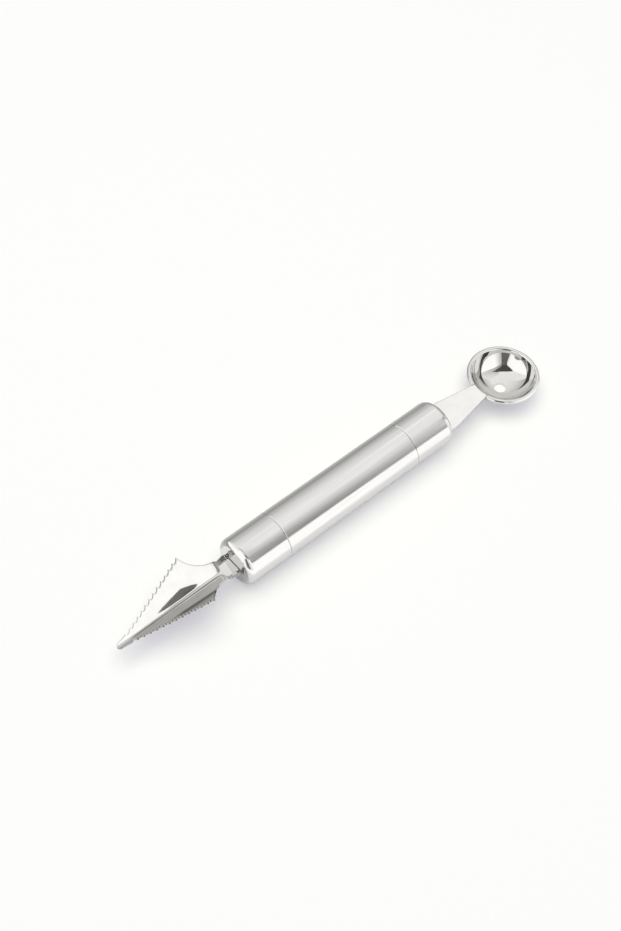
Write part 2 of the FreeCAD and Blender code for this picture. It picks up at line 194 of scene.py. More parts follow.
merged = add_node(turned_wall, "GeometryNodeMergeByDistance", {
    "Geometry": turned.outputs["Geometry"], "Distance": weld_distance})
real = add_node(turned_wall, "GeometryNodeRealizeInstances", {"Geometry": merged.outputs["Geometry"]})
finished = add_node(turned_wall, "GeometryNodeSetMaterial", {
    "Geometry": real.outputs["Geometry"], "Material": given.outputs["Metal"]})
add_node(turned_wall, "NodeGroupOutput", {"Wall": finished.outputs["Geometry"]})


def new_piece(name, points, edges=(), faces=()):
    """A mesh object in the scene, from its points."""
    mesh = bpy.data.meshes.new(name)
    mesh.from_pydata(points, edges, faces)
    piece = bpy.data.objects.new(name, mesh)
    bpy.context.collection.objects.link(piece)
    return piece


def settle(piece, sharp_angle):
    """Turns a piece and its modifiers into a plain mesh with outward faces, smooth up to an angle."""
    depsgraph = bpy.context.evaluated_depsgraph_get()
    mesh = bpy.data.meshes.new_from_object(piece.evaluated_get(depsgraph), depsgraph=depsgraph)
    piece.modifiers.clear()
    piece.data = mesh
    solid = bmesh.new()
    solid.from_mesh(mesh)
    bmesh.ops.recalc_face_normals(solid, faces=solid.faces)
    solid.to_mesh(mesh)
    solid.free()
    mesh.shade_smooth()
    mesh.set_sharp_from_angle(angle=math.radians(sharp_angle))


def turned_piece(name, section, closing_rows):
    """A wall of revolution from its section, a list of places along the axis and radii."""
    edges = [(at, at + 1) for at in range(len(section) - 1)]
    piece = new_piece(name, [(x, 0.0, radius) for x, radius in section], edges)
    turning = piece.modifiers.new("turning", "NODES")
    turning.node_group = turned_wall
    turning[turned_inputs["Segments"].identifier] = round_segments
    turning[turned_inputs["Closing rows"].identifier] = closing_rows
    turning[turned_inputs["Axis height"].identifier] = handle_height
    turning[turned_inputs["Metal"].identifier] = satin_steel
    settle(piece, wall_sharp_angle)
    return piece


tube = turned_piece("satin_tube", [
    (tube_low.x, handle_radius - wall),
    (tube_low.x, handle_radius - seam_chamfer),
    (tube_low.x + seam_chamfer, handle_radius),
    (tube_high.x - seam_chamfer, handle_radius),
    (tube_high.x, handle_radius - seam_chamfer),
    (tube_high.x, handle_radius - wall)], closing_rows=1)
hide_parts("handle_tube")
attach(tube, "root")

# End cups: short caps of the same satin stainless, deep-drawn with a rounded shoulder and a flat end.
# Each is pressed onto its plug against the tube, and a level slot in the end lets the tang through.
shoulder_radius = 3.0 * mm
shoulder_turn = 60
corner_radius = 0.6 * mm
arc_steps = 16
slot_half_height = 0.7 * mm
slot_lift = 0.45 * mm
punch_reach = 4 * wall
box_sides = [(0, 1, 3, 2), (4, 6, 7, 5), (0, 4, 5, 1), (2, 3, 7, 6), (0, 2, 6, 4), (1, 5, 7, 3)]


def arc(centre_out, centre_up, radius, start, end, steps):
    """Points of a section on an arc, with angles from straight up and positive outward."""
    turns = np.radians(np.linspace(start, end, steps + 1))
    return [(centre_out + radius * math.sin(turn), centre_up + radius * math.cos(turn)) for turn in turns]


def end_cup(name, node, outward, slot_half_width):
    """A cup with its slot. Outward is -1 at the blade's end and 1 at the scoop's."""
    low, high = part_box(node)
    end = low.x if outward < 0 else high.x
    depth = high.x - low.x
    bore = handle_radius - wall
    shoulder_centre = -shoulder_radius * math.sin(math.radians(shoulder_turn))
    section = [(0.0, 0.0)]
    section += arc(shoulder_centre, handle_radius - shoulder_radius, shoulder_radius,
                   shoulder_turn, 0, arc_steps)
    section += [(-depth + seam_chamfer, handle_radius)]
    section += [(-depth, handle_radius - seam_chamfer)]
    section += [(-depth, bore)]
    section += arc(-wall - corner_radius, bore - corner_radius, corner_radius, 0, 90, arc_steps)
    section += [(-wall, 0.0)]
    cup = turned_piece(name, [(end + outward * x, radius) for x, radius in section], closing_rows=0)
    slot_low = handle_height - slot_half_height
    slot_high = handle_height + (slot_half_height + slot_lift)
    corners = [(end + side * punch_reach, edge * slot_half_width, height)
               for side in (-1, 1) for edge in (-1, 1) for height in (slot_low, slot_high)]
    punch = new_piece("slot_punch", corners, faces=box_sides)
    cut = cup.modifiers.new("slot", "BOOLEAN")
    cut.operation = "DIFFERENCE"
    cut.solver = "EXACT"
    cut.object = punch
    flat = cup.modifiers.new("flat_end", "WEIGHTED_NORMAL")
    flat.keep_sharp = True
    settle(cup, wall_sharp_angle)
    bpy.data.objects.remove(punch)
    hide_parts(node)
    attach(cup, "root")


end_cup("blade_end_satin_cup", "blade_end_cup", -1, slot_half_width=5.2 * mm)
end_cup("scoop_end_satin_cup", "scoop_end_cup", 1, slot_half_width=5.8 * mm)

# Carving blade: one stamped sheet of polished stainless. Its flat tang comes out of the cup, a short
# channel-shaped neck follows, and two toothed wings fold up to a V that narrows to a rounded nose.
blade_low, blade_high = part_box("carving_blade")
blade_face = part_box("blade_end_cup")[0].x
blade_length = blade_face - blade_low.x
nose_margin = 0.2 * mm
blank_length = blade_length - nose_margin
blade_sheet = 0.8 * mm
tang_length = blade_high.x - blade_face
tang_half = 5.1 * mm
neck_half = 4.3 * mm
neck_start = 0.6 * mm
neck_end = 5.5 * mm
wing_half = blade_high.y
wing_setback = 18 * mm
wing_angle = 43
nose_start = 48 * mm
nose_half = 1.9 * mm
nose_radius = 1.2 * mm
nose_angle = 35
tooth_count = 13
tooth_depth = 0.65 * mm
tooth_land = 0.2 * mm
tooth_steps = 12
tang_steps = 12
root_steps = 120
nose_steps = 24
across_steps = 64
across_crowding = 1.3
scallop_fade = 4
sheet_sharp_angle = 40

# Mirror-polished stainless sheet: crisp reflections, with faint buffing lines along the tool and a
# little haze. The buffing lines are finer than a pixel and are drawn coarser, to show.
mirror_steel = new_material("mirror_polished_stainless_sheet")
tree = mirror_steel.node_tree
buff_width = 0.5 * mm
buff_length = 12 * mm
buff_depth = 0.01 * mm
haze_size = 6 * mm
# Place, width and darkness of the painted shade line along the fold.
fold_line_side = -0.3 * mm
fold_line_half = 0.12 * mm
fold_line_fade = 0.32 * mm
fold_line_strength = 0.9
fold_line_start = 6 * mm
fold_line_end = 48 * mm
fold_line_run = 3 * mm
place = add_node(tree, "ShaderNodeTexCoord")
along = add_node(tree, "ShaderNodeMapping", {
    "Vector": place.outputs["Object"],
    "Scale": (1 / buff_length, 1 / buff_width, 1 / buff_width)})
buffing = add_node(tree, "ShaderNodeTexNoise", {
    "Vector": along.outputs["Vector"], "Scale": 1.0, "Detail": 2.0, "Roughness": 0.5})
clouds = add_node(tree, "ShaderNodeTexNoise", {
    "Vector": place.outputs["Object"], "Scale": 1 / haze_size, "Detail": 3.0})
tint = add_node(tree, "ShaderNodeValToRGB", {"Fac": clouds.outputs["Fac"]})
tint.color_ramp.elements[0].position = noise_low
tint.color_ramp.elements[0].color = linear("#DBDAD7")
tint.color_ramp.elements[1].position = noise_high
tint.color_ramp.elements[1].color = linear("#E2E1DF")

# Painted shade: a dark line is painted along the fold in the trough, starting beyond the neck and dying out
# at the nose.
spot = add_node(tree, "ShaderNodeSeparateXYZ", {0: place.outputs["Object"]})
off_fold = add_node(tree, "ShaderNodeMath", {
    0: spot.outputs["Y"], 1: fold_line_side}, operation="SUBTRACT")
fold_gap = add_node(tree, "ShaderNodeMath", {0: off_fold.outputs["Value"]}, operation="ABSOLUTE")
beyond_neck = add_node(tree, "ShaderNodeMapRange", {
    "Value": spot.outputs["X"], "From Min": blade_face - (fold_line_start + fold_line_run),
    "From Max": blade_face - fold_line_start, "To Min": fold_line_strength, "To Max": 0.0})
before_nose = add_node(tree, "ShaderNodeMapRange", {
    "Value": spot.outputs["X"], "From Min": blade_face - fold_line_end,
    "From Max": blade_face - (fold_line_end - fold_line_run),
    "To Min": 0.0, "To Max": beyond_neck.outputs["Result"]})
fold_line = add_node(tree, "ShaderNodeMapRange", {
    "Value": fold_gap.outputs["Value"], "From Min": fold_line_half, "From Max": fold_line_fade,
    "To Min": before_nose.outputs["Result"], "To Max": 0.0})
shade = add_node(tree, "ShaderNodeMixRGB", {
    "Fac": fold_line.outputs["Result"], "Color1": tint.outputs["Color"], "Color2": linear("#4E4A48")})
gloss = add_node(tree, "ShaderNodeMapRange", {
    "Value": buffing.outputs["Fac"], "From Min": noise_low, "From Max": noise_high,
    "To Min": 0.02, "To Max": 0.045})
scuffs = add_node(tree, "ShaderNodeBump", {
    "Height": buffing.outputs["Fac"], "Strength": 0.03, "Distance": buff_depth})

# Where the sheet's own attribute says, the steel is painted darker: along both toothed edges, and in one
# line of painted shade on the near wing.
edge = add_node(tree, "ShaderNodeAttribute", attribute_name="dark_teeth_and_painted_shade")
darkened = add_node(tree, "ShaderNodeMixRGB", {
    "Fac": edge.outputs["Fac"], "Color1": shade.outputs["Color"], "Color2": linear("#4A4543")})
steel = add_node(tree, "ShaderNodeBsdfPrincipled", {
    "Base Color": darkened.outputs["Color"], "Metallic": 1.0, "Roughness": gloss.outputs["Result"],
    "Normal": scuffs.outputs["Normal"]})
add_node(tree, "ShaderNodeOutputMaterial", {"Surface": steel.outputs["BSDF"]})


def blade_half_width(along_blade):
    """Half the width of the flat blank without teeth, at a distance out from the end of the cup."""
    if along_blade <= neck_start:
        return tang_half
    if along_blade <= neck_end:
        share = (along_blade - neck_start) / (neck_end - neck_start)
        return tang_half + share * (neck_half - tang_half)
    if along_blade <= wing_setback:
        run = wing_setback - neck_end
        rise = wing_half - neck_half
        flare_radius = (run ** 2 + rise ** 2) / (2 * rise)
        return neck_half + flare_radius - math.sqrt(flare_radius ** 2 - (along_blade - neck_end) ** 2)
    if along_blade <= nose_start:
        taper = (wing_half - nose_half) / (nose_start - wing_setback)
        return wing_half - taper * (along_blade - wing_setback)
    nose_centre = blank_length - nose_radius
    nose_reach = math.hypot(nose_half, nose_centre - nose_start)
    nose_lean = math.asin(nose_half / nose_reach) - math.asin(nose_radius / nose_reach)
    touch = nose_centre + nose_radius * math.sin(nose_lean)
    if along_blade <= touch:
        return nose_half - math.tan(nose_lean) * (along_blade - nose_start)
    return math.sqrt(max(nose_radius ** 2 - (along_blade - nose_centre) ** 2, 0.0))


# The flat blank is a grid. Each row stands at a distance along the blade, with the cut that a tooth's
# scallop makes there, and the columns lie closer together at the fold.
edge_run = nose_start - wing_setback
edge_length = math.hypot(edge_run, wing_half - nose_half)
edge_lean = edge_run / edge_length
tooth_pitch = edge_length / tooth_count
tooth_chord = tooth_pitch - tooth_land
scallop_radius = (tooth_chord ** 2 / 4 + tooth_depth ** 2) / (2 * tooth_depth)
stations = [(out, 0.0) for out in np.linspace(-tang_length, 0, tang_steps, endpoint=False)]
stations += [(out, 0.0) for out in np.linspace(0, wing_setback, root_steps, endpoint=False)]
for tooth in range(tooth_count):
    start = tooth * tooth_pitch
    stations += [(wing_setback + start * edge_lean, 0.0)]
    for at in np.linspace(-tooth_chord / 2, tooth_chord / 2, tooth_steps + 1):
        depth = math.sqrt(scallop_radius ** 2 - at ** 2) - scallop_radius + tooth_depth
        stations += [(wing_setback + (start + tooth_pitch / 2 + at) * edge_lean, depth / edge_lean)]
stations += [(nose_start + (blank_length - nose_start) * math.sin(turn), 0.0)
             for turn in np.linspace(0, math.pi / 2, nose_steps, endpoint=False)]
across = np.linspace(-1, 1, across_steps + 1)
across = np.sign(across) * np.abs(across) ** across_crowding
blank_points = []
for out, cut in stations:
    half = blade_half_width(out)
    for share in across:
        sideways = share * (half - cut * share ** scallop_fade)
        blank_points.append((blade_face - out, sideways, handle_height))
blank_points.append((blade_face - blank_length, 0.0, handle_height))
tip = len(blank_points) - 1
wide = len(across)
blank_faces = []
for row in range(len(stations) - 1):
    for corner in range(row * wide, row * wide + wide - 1):
        blank_faces.append((corner, corner + 1, corner + wide + 1, corner + wide))
last = (len(stations) - 1) * wide
blank_faces += [(corner, corner + 1, tip) for corner in range(last, last + wide - 1)]

# The fold of the blank, as a press makes it: a floor narrows along the blade to a crease, the sheet
# beside it rises at a slope that grows to the wings' own, and the nose end sinks a little.
fold_sizes = {
    "Cup face": blade_face,
    "Blade length": blade_length,
    "Neck rises from": 0.2 * mm,
    "Neck rises to": 1.6 * mm,
    "Floor narrows from": 4.8 * mm,
    "Floor narrows to": 6.6 * mm,
    "Wings rise from": 5.0 * mm,
    "Wings rise to": 9.0 * mm,
    "Nose shapes from": 12.0 * mm,
    "Neck floor": 3.0 * mm,
    "Crease floor": 0.72 * mm,
    "Nose floor share": 0.28,
    "Neck slope": math.tan(math.radians(wing_angle)),
    "Wing slope": math.tan(math.radians(wing_angle)),
    "Nose slope": math.tan(math.radians(nose_angle)),
    "Bend": 0.3 * mm,
    "Nose drop": -0.8 * mm}
folded_sheet = bpy.data.node_groups.new("folded_sheet", "GeometryNodeTree")
fold_inputs = {}
for name, kind in ([("Blank", "NodeSocketGeometry")]
                   + [(name, "NodeSocketFloat") for name in fold_sizes]
                   + [("Metal", "NodeSocketMaterial")]):
    fold_inputs[name] = folded_sheet.interface.new_socket(name, in_out="INPUT", socket_type=kind)
folded_sheet.interface.new_socket("Sheet", in_out="OUTPUT", socket_type="NodeSocketGeometry")
given = add_node(folded_sheet, "NodeGroupInput")
position = add_node(folded_sheet, "GeometryNodeInputPosition")
blank_place = add_node(folded_sheet, "ShaderNodeSeparateXYZ", {0: position.outputs["Position"]})
distance = add_node(folded_sheet, "ShaderNodeMath", {
    0: given.outputs["Cup face"], 1: blank_place.outputs["X"]}, operation="SUBTRACT")
side = add_node(folded_sheet, "ShaderNodeMath", {0: blank_place.outputs["Y"]}, operation="ABSOLUTE")
floor_half = add_node(folded_sheet, "ShaderNodeMapRange", {
    "Value": distance.outputs["Value"], "From Min": given.outputs["Floor narrows from"],
    "From Max": given.outputs["Floor narrows to"],
    "To Min": given.outputs["Neck floor"], "To Max": given.outputs["Crease floor"]},
    interpolation_type="SMOOTHSTEP")
narrowing = add_node(folded_sheet, "ShaderNodeMapRange", {
    "Value": distance.outputs["Value"], "From Min": given.outputs["Nose shapes from"],
    "From Max": given.outputs["Blade length"],
    "To Min": 1.0, "To Max": given.outputs["Nose floor share"]})
crease_half = add_node(folded_sheet, "ShaderNodeMath", {
    0: floor_half.outputs["Result"], 1: narrowing.outputs["Result"]}, operation="MULTIPLY")
neck_slope = add_node(folded_sheet, "ShaderNodeMapRange", {
    "Value": distance.outputs["Value"], "From Min": given.outputs["Neck rises from"],
    "From Max": given.outputs["Neck rises to"],
    "To Min": 0.0, "To Max": given.outputs["Neck slope"]}, interpolation_type="SMOOTHSTEP")
wing_slope = add_node(folded_sheet, "ShaderNodeMapRange", {
    "Value": distance.outputs["Value"], "From Min": given.outputs["Wings rise from"],
    "From Max": given.outputs["Wings rise to"],
    "To Min": neck_slope.outputs["Result"], "To Max": given.outputs["Wing slope"]},
    interpolation_type="SMOOTHSTEP")
slope = add_node(folded_sheet, "ShaderNodeMapRange", {
    "Value": distance.outputs["Value"], "From Min": given.outputs["Nose shapes from"],
    "From Max": given.outputs["Blade length"],
    "To Min": wing_slope.outputs["Result"], "To Max": given.outputs["Nose slope"]})
beyond = add_node(folded_sheet, "ShaderNodeMath", {
    0: side.outputs["Value"], 1: crease_half.outputs["Value"]}, operation="SUBTRACT")
square = add_node(folded_sheet, "ShaderNodeMath", {
    0: beyond.outputs["Value"], 1: beyond.outputs["Value"]}, operation="MULTIPLY")
softened = add_node(folded_sheet, "ShaderNodeMath", {
    0: given.outputs["Bend"], 1: given.outputs["Bend"], 2: square.outputs["Value"]},
    operation="MULTIPLY_ADD")
bend_root = add_node(folded_sheet, "ShaderNodeMath", {0: softened.outputs["Value"]}, operation="SQRT")
risen_run = add_node(folded_sheet, "ShaderNodeMath", {
    0: beyond.outputs["Value"], 1: bend_root.outputs["Value"]}, operation="ADD")
half_run = add_node(folded_sheet, "ShaderNodeMath", {
    0: risen_run.outputs["Value"], 1: 0.5}, operation="MULTIPLY")
sinking = add_node(folded_sheet, "ShaderNodeMapRange", {
    "Value": distance.outputs["Value"], "From Min": given.outputs["Nose shapes from"],
    "From Max": given.outputs["Blade length"],
    "To Min": 0.0, "To Max": given.outputs["Nose drop"]})
rise = add_node(folded_sheet, "ShaderNodeMath", {
    0: half_run.outputs["Value"], 1: slope.outputs["Result"], 2: sinking.outputs["Result"]},
    operation="MULTIPLY_ADD")
lift = add_node(folded_sheet, "ShaderNodeCombineXYZ", {"Z": rise.outputs["Value"]})
folded = add_node(folded_sheet, "GeometryNodeSetPosition", {
    "Geometry": given.outputs["Blank"], "Offset": lift.outputs["Vector"]})
real = add_node(folded_sheet, "GeometryNodeRealizeInstances", {"Geometry": folded.outputs["Geometry"]})
finished = add_node(folded_sheet, "GeometryNodeSetMaterial", {
    "Geometry": real.outputs["Geometry"], "Material": given.outputs["Metal"]})
add_node(folded_sheet, "NodeGroupOutput", {"Sheet": finished.outputs["Geometry"]})

blade = new_piece("folded_carving_blade", blank_points, faces=blank_faces)

# How much darker the sheet is painted at each point, from 0 to 1: along both toothed edges, and in one line
# of painted shade on the near wing. The line's numbers are in mm, out from the cup and sideways from the
# fold.
tooth_darkening = (0.5, 0.2)
line_from_fold = 6.0
line_lean = 0.09
line_middle = 18
line_profile = ([0, 0.5, 1.2, 2, 3, 4], [0, 0.4, 0.95, 0.65, 0.3, 0.15])
line_reach = ([11, 14, 28, 34], [0, 1, 1, 0])
dark_teeth_and_painted_shade = blade.data.attributes.new("dark_teeth_and_painted_shade", "FLOAT", "POINT")
for at, (x, y, _) in enumerate(blank_points):
    from_edge = min(at % wide, wide - 1 - at % wide)
    teeth = tooth_darkening[from_edge] if from_edge < len(tooth_darkening) else 0.0
    out = (blade_face - x) / mm
    below_line = -y / mm - line_from_fold + line_lean * (out - line_middle)
    painted_line_shade = np.interp(below_line, *line_profile) * np.interp(out, *line_reach)
    dark_teeth_and_painted_shade.data[at].value = max(teeth, painted_line_shade)
folding = blade.modifiers.new("folding", "NODES")
folding.node_group = folded_sheet
for name, size in fold_sizes.items():
    folding[fold_inputs[name].identifier] = size
folding[fold_inputs["Metal"].identifier] = mirror_steel
sheet = blade.modifiers.new("sheet", "SOLIDIFY")
sheet.thickness = blade_sheet
sheet.offset = 0.0
settle(blade, sheet_sharp_angle)
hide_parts("carving_blade")
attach(blade, "root")

# Melon scoop: one piece of the same polished stainless sheet. The bowl is pressed, its edge turns over in
# a rolled lip that stops at the shank, a vent is punched in its bottom, and the shank tapers to it.
scoop_low, scoop_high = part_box("melon_scoop")
shank_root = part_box("scoop_end_cup")[1].x
scoop_sheet = 0.8 * mm
bowl_radius = scoop_high.y
bowl_x = scoop_high.x - bowl_radius
curl_radius = 1.0 * mm
curl_end = 130
lip_radius = 1.0 * mm
crest_radius = bowl_radius - curl_radius
crest_height = scoop_high.z
bowl_depth = 9.5 * mm
bowl_sphere = (crest_radius ** 2 + bowl_depth ** 2) / (2 * bowl_depth) - lip_radius
bowl_centre_height = crest_height - bowl_depth + bowl_sphere
wall_angle = math.degrees(math.asin(crest_radius / (bowl_sphere + lip_radius)))
vent_radius = 2.5 * mm
shank_root_half = 7.7 * mm
shank_neck_half = 3.75 * mm
scoop_tang_half = 5.5 * mm
eased_edge = 0.12 * mm
bowl_steps = 48
under_bowl_steps = 40
lip_steps = 24
under_lip_steps = 16

# The section of the bowl and its lip, from the vent up the inside, over the curl and down the outside.
lip_height = crest_height - lip_radius
curl_height = crest_height - curl_radius
inside_vent = 180 - math.degrees(math.asin(vent_radius / bowl_sphere))
outside_vent = 180 - math.degrees(math.asin(vent_radius / (bowl_sphere + scoop_sheet)))
inside = arc(0, bowl_centre_height, bowl_sphere, inside_vent, 180 - wall_angle, bowl_steps)[:-1]
inside += arc(crest_radius, lip_height, lip_radius, -wall_angle, 0, lip_steps)
curl = arc(crest_radius, curl_height, curl_radius, 0, curl_end, lip_steps)[1:]
curl += arc(crest_radius, curl_height, curl_radius - scoop_sheet, curl_end, 0, under_lip_steps)[:-1]
outside = arc(crest_radius, lip_height, lip_radius - scoop_sheet, 0, -wall_angle, under_lip_steps)[:-1]
outside += arc(0, bowl_centre_height, bowl_sphere + scoop_sheet, 180 - wall_angle, outside_vent,
               under_bowl_steps)
neck_angle = math.asin(shank_neck_half / crest_radius)
neck_columns = 24
rim_columns = 192
neck_turns = list(np.linspace(math.pi - neck_angle, math.pi + neck_angle, neck_columns + 1))
rim_turns = list(np.linspace(math.pi + neck_angle, 3 * math.pi - neck_angle, rim_columns + 1))[1:-1]
turns = neck_turns + rim_turns
scoop_points = []
scoop_faces = []
point_at = {}


def ring_point(kind, row, column, radius, height):
    """Adds a point of a ring to the scoop and keeps its number."""
    turn_angle = turns[column]
    point_at[kind, row, column] = len(scoop_points)
    scoop_points.append((bowl_x + radius * math.cos(turn_angle), radius * math.sin(turn_angle), height))


def strip(kind_a, row_a, kind_b, row_b, columns):
    """A band of faces between two rings of points."""
    for column in columns:
        following = (column + 1) % len(turns)
        scoop_faces.append((point_at[kind_a, row_a, column], point_at[kind_a, row_a, following],
                            point_at[kind_b, row_b, following], point_at[kind_b, row_b, column]))


every_column = range(len(turns))
rim_only = range(neck_columns, len(turns))
for column in every_column:
    for row, (radius, height) in enumerate(inside):
        ring_point("inside", row, column, radius, height)
    for row, (radius, height) in enumerate(outside):
        ring_point("outside", row, column, radius, height)
for column in list(rim_only) + [0]:
    for row, (radius, height) in enumerate(curl):
        ring_point("curl", row, column, radius, height)
for row in range(len(inside) - 1):
    strip("inside", row, "inside", row + 1, every_column)
for row in range(len(outside) - 1):
    strip("outside", row, "outside", row + 1, every_column)
strip("outside", len(outside) - 1, "inside", 0, every_column)
strip("inside", len(inside) - 1, "curl", 0, rim_only)
for row in range(len(curl) - 1):
    strip("curl", row, "curl", row + 1, rim_only)
strip("curl", len(curl) - 1, "outside", 0, rim_only)
for column in (0, neck_columns):
    scoop_faces.append([point_at["inside", len(inside) - 1, column]]
                       + [point_at["curl", row, column] for row in range(len(curl))]
                       + [point_at["outside", 0, column]])

# The shank runs flat from the crest of the lip to the cup, nearly as wide there as the cup's flat end.
shank_rows = 16
for column in range(neck_columns + 1):
    point_at["top", 0, column] = point_at["inside", len(inside) - 1, column]
    point_at["under", 0, column] = point_at["outside", 0, column]
    start = Vector(scoop_points[point_at["top", 0, column]])
    end = Vector((shank_root, shank_root_half * (1 - 2 * column / neck_columns), crest_height))
    for row in range(1, shank_rows + 1):
        on_shank = start.lerp(end, row / shank_rows)
        point_at["top", row, column] = len(scoop_points)
        scoop_points.append(tuple(on_shank))
        point_at["under", row, column] = len(scoop_points)
        scoop_points.append((on_shank.x, on_shank.y, crest_height - scoop_sheet))
for row in range(shank_rows):
    strip("top", row, "top", row + 1, range(neck_columns))
    strip("under", row, "under", row + 1, range(neck_columns))
    for column in (0, neck_columns):
        scoop_faces.append((point_at["top", row, column], point_at["top", row + 1, column],
                            point_at["under", row + 1, column], point_at["under", row, column]))
strip("top", shank_rows, "under", shank_rows, range(neck_columns))

# The tang goes on from the shank, narrower, through the slot into the plug.
tang_first = len(scoop_points)
for x in (scoop_low.x, shank_root):
    for y in (-scoop_tang_half, scoop_tang_half):
        for z in (crest_height - scoop_sheet, crest_height):
            scoop_points.append((x, y, z))
scoop_faces += [[tang_first + corner for corner in corners] for corners in box_sides]
scoop = new_piece("rolled_lip_scoop", scoop_points, faces=scoop_faces)
scoop.data.materials.append(mirror_steel)
edges = scoop.modifiers.new("eased_edges", "BEVEL")
edges.width = eased_edge
edges.segments = 2
edges.limit_method = "ANGLE"
edges.angle_limit = math.radians(50)
level = scoop.modifiers.new("flat_shank", "WEIGHTED_NORMAL")
level.keep_sharp = True
settle(scoop, sheet_sharp_angle)
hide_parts("melon_scoop")
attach(scoop, "root")

# Tang plugs: solid mouldings of grey nylon inside the handle's ends, which grip the tangs and carry the
# pressed-on cups. They are closed in, so the CAD solids stay and get the moulded surface.
# Moulded nylon is a soft grey with a faint grain of about a third of a millimetre.
nylon = new_material("moulded_nylon")
tree = nylon.node_tree
grain_size = 0.35 * mm
grain_depth = 0.05 * mm
flow_size = 8 * mm
place = add_node(tree, "ShaderNodeTexCoord")
grain = add_node(tree, "ShaderNodeTexNoise", {
    "Vector": place.outputs["Object"], "Scale": 1 / grain_size, "Detail": 2.0})
flow = add_node(tree, "ShaderNodeTexNoise", {
    "Vector": place.outputs["Object"], "Scale": 1 / flow_size, "Detail": 3.0})
tint = add_node(tree, "ShaderNodeValToRGB", {"Fac": flow.outputs["Fac"]})
tint.color_ramp.elements[0].position = noise_low
tint.color_ramp.elements[0].color = linear("#BEBDB9")
tint.color_ramp.elements[1].position = noise_high
tint.color_ramp.elements[1].color = linear("#CBCAC6")
gloss = add_node(tree, "ShaderNodeMapRange", {
    "Value": grain.outputs["Fac"], "From Min": noise_low, "From Max": noise_high,
    "To Min": 0.45, "To Max": 0.6})
pitted = add_node(tree, "ShaderNodeBump", {
    "Height": grain.outputs["Fac"], "Strength": 0.2, "Distance": grain_depth})
moulding = add_node(tree, "ShaderNodeBsdfPrincipled", {
    "Base Color": tint.outputs["Color"], "Roughness": gloss.outputs["Result"],
    "Normal": pitted.outputs["Normal"], "IOR": 1.53})
add_node(tree, "ShaderNodeOutputMaterial", {"Surface": moulding.outputs["BSDF"]})
for name in ("blade_tang_plug", "scoop_tang_plug"):
    plug = frame["nodes"][name]
    plug.data.materials.clear()
    plug.data.materials.append(nylon)

# Tang pins: short lengths of drawn stainless wire that cross the plugs and the tangs inside the handle.
# They are closed in too, so the CAD solids stay and get the drawn surface.
# Drawn wire is a plain grey with die lines along its length, which is upright here.
drawn_wire = new_material("drawn_stainless_wire")
tree = drawn_wire.node_tree
die_line_width = 0.12 * mm
die_line_length = 6 * mm
place = add_node(tree, "ShaderNodeTexCoord")
along = add_node(tree, "ShaderNodeMapping", {
    "Vector": place.outputs["Object"],
    "Scale": (1 / die_line_width, 1 / die_line_width, 1 / die_line_length)})
die_lines = add_node(tree, "ShaderNodeTexNoise", {
    "Vector": along.outputs["Vector"], "Scale": 1.0, "Detail": 2.0})
tint = add_node(tree, "ShaderNodeValToRGB", {"Fac": die_lines.outputs["Fac"]})
tint.color_ramp.elements[0].position = noise_low
tint.color_ramp.elements[0].color = linear("#BFBFBE")
tint.color_ramp.elements[1].position = noise_high
tint.color_ramp.elements[1].color = linear("#D2D2D0")
gloss = add_node(tree, "ShaderNodeMapRange", {
    "Value": die_lines.outputs["Fac"], "From Min": noise_low, "From Max": noise_high,
    "To Min": 0.22, "To Max": 0.36})
wire = add_node(tree, "ShaderNodeBsdfPrincipled", {
    "Base Color": tint.outputs["Color"], "Metallic": 1.0, "Roughness": gloss.outputs["Result"]})
add_node(tree, "ShaderNodeOutputMaterial", {"Surface": wire.outputs["BSDF"]})
for name in ("blade_tang_pin", "scoop_tang_pin"):
    pin = frame["nodes"][name]
    pin.data.materials.clear()
    pin.data.materials.append(drawn_wire)

# Table: a plain white sweep of paper, large enough to reach past the frame on every side.
# It takes the tool's soft shadow, and to the eye it glows to plain white away from the tool.
floor_reach = 3.0
glow_from = 0.2
glow_to = 0.7
near_glow = 0.35
far_glow = 1.0
paper = new_material("white_paper")
tree = paper.node_tree
fibre_size = 0.8 * mm
place = add_node(tree, "ShaderNodeTexCoord")
fibres = add_node(tree, "ShaderNodeTexNoise", {"Vector": place.outputs["Object"], "Scale": 1 / fibre_size})
tint = add_node(tree, "ShaderNodeValToRGB", {"Fac": fibres.outputs["Fac"]})
tint.color_ramp.elements[0].color = linear("#FBFBFA")
tint.color_ramp.elements[1].color = linear("#FEFEFD")
sheet_paper = add_node(tree, "ShaderNodeBsdfDiffuse", {"Color": tint.outputs["Color"]})
lit_from_below = add_node(tree, "ShaderNodeEmission", {"Color": tint.outputs["Color"], "Strength": 1.0})
ray = add_node(tree, "ShaderNodeLightPath")
from_tool = add_node(tree, "ShaderNodeVectorMath", {0: place.outputs["Object"]}, operation="LENGTH")
glow = add_node(tree, "ShaderNodeMapRange", {
    "Value": from_tool.outputs["Value"], "From Min": glow_from, "From Max": glow_to,
    "To Min": near_glow, "To Max": far_glow})
glow_share = add_node(tree, "ShaderNodeMapRange", {
    "Value": ray.outputs["Is Camera Ray"], "To Max": glow.outputs["Result"]})
sweep = add_node(tree, "ShaderNodeMixShader", {
    0: glow_share.outputs["Result"], 1: sheet_paper.outputs["BSDF"], 2: lit_from_below.outputs["Emission"]})
add_node(tree, "ShaderNodeOutputMaterial", {"Surface": sweep.outputs["Shader"]})
table = new_piece("table", [(-floor_reach, -floor_reach, 0), (floor_reach, -floor_reach, 0),
                            (floor_reach, floor_reach, 0), (-floor_reach, floor_reach, 0)],
                  faces=[(0, 1, 2, 3)])
table.data.materials.append(paper)

